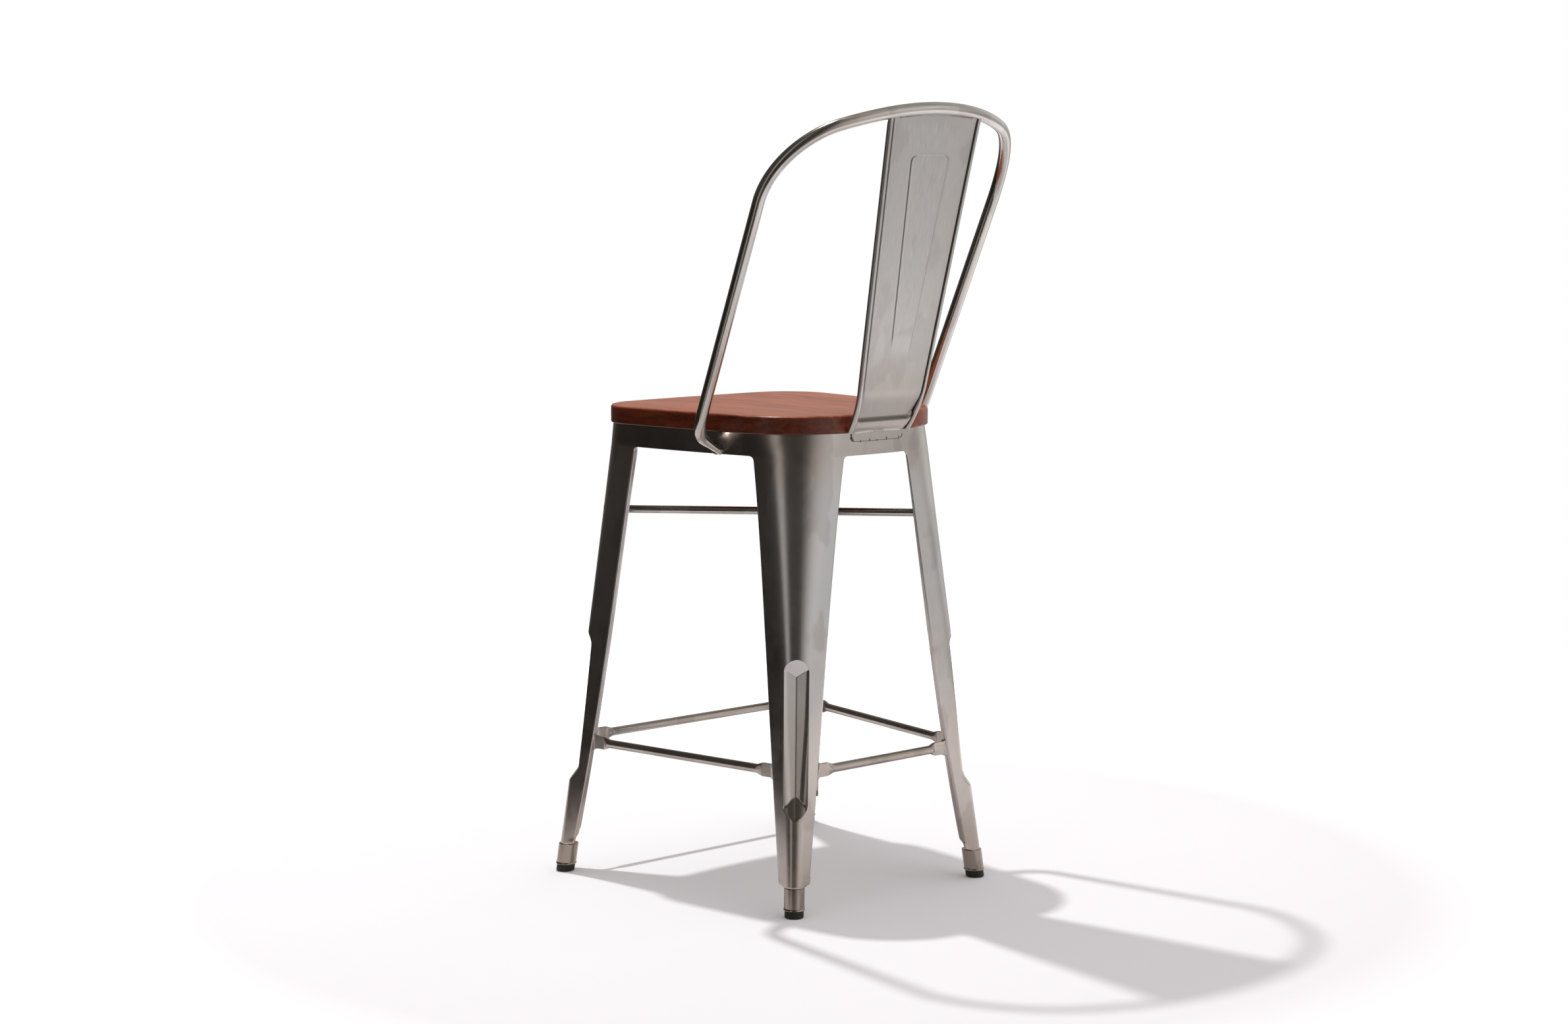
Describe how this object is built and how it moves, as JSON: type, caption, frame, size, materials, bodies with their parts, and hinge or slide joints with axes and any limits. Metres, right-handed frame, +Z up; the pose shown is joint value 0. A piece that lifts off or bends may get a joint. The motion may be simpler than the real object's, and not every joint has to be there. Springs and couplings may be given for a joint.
{
  "type": "bar stool with footrest",
  "caption": "Bar stool with a flat wooden seat on splayed grooved sheet-metal legs, round footrest bars, crossed brace rods and a low bent-tube back with a single wide slat.",
  "frame": {"origin": "middle of the outline in plan, on the floor", "axes": "+Z up, +Y towards the back of the stool, +X across; the outline is symmetric about x = 0"},
  "size_m": [0.4864, 0.5202, 1.0623],
  "materials": {
    "wood": "satin lacquer, reddish brown",
    "leg_steel": "gunmetal, clear-coated",
    "bar_steel": "gunmetal, clear-coated",
    "hoop_steel": "gunmetal, clear-coated",
    "slat_steel": "gunmetal, clear-coated",
    "dark_steel": "gunmetal, clear-coated",
    "screw_steel": "plain zinc",
    "rubber": "matt"
  },
  "bodies": {
    "root": {"wood_seat": "wood", "seat_ring": "dark_steel", "seat_screws": "screw_steel", "leg_front_left": "leg_steel", "leg_front_right": "leg_steel", "leg_rear_left": "leg_steel", "leg_rear_right": "leg_steel", "apron_front": "leg_steel", "apron_rear": "leg_steel", "apron_left": "leg_steel", "apron_right": "leg_steel", "brace_rod_upper": "bar_steel", "brace_rod_lower": "bar_steel", "footrest_front": "bar_steel", "footrest_rear": "bar_steel", "footrest_left": "bar_steel", "footrest_right": "bar_steel", "socket_front_left": "dark_steel", "socket_front_right": "dark_steel", "socket_rear_left": "dark_steel", "socket_rear_right": "dark_steel", "foot_front_left": "rubber", "foot_front_right": "rubber", "foot_rear_left": "rubber", "foot_rear_right": "rubber", "back_hoop": "hoop_steel", "back_slat": "slat_steel"}
  },
  "joints": []
}
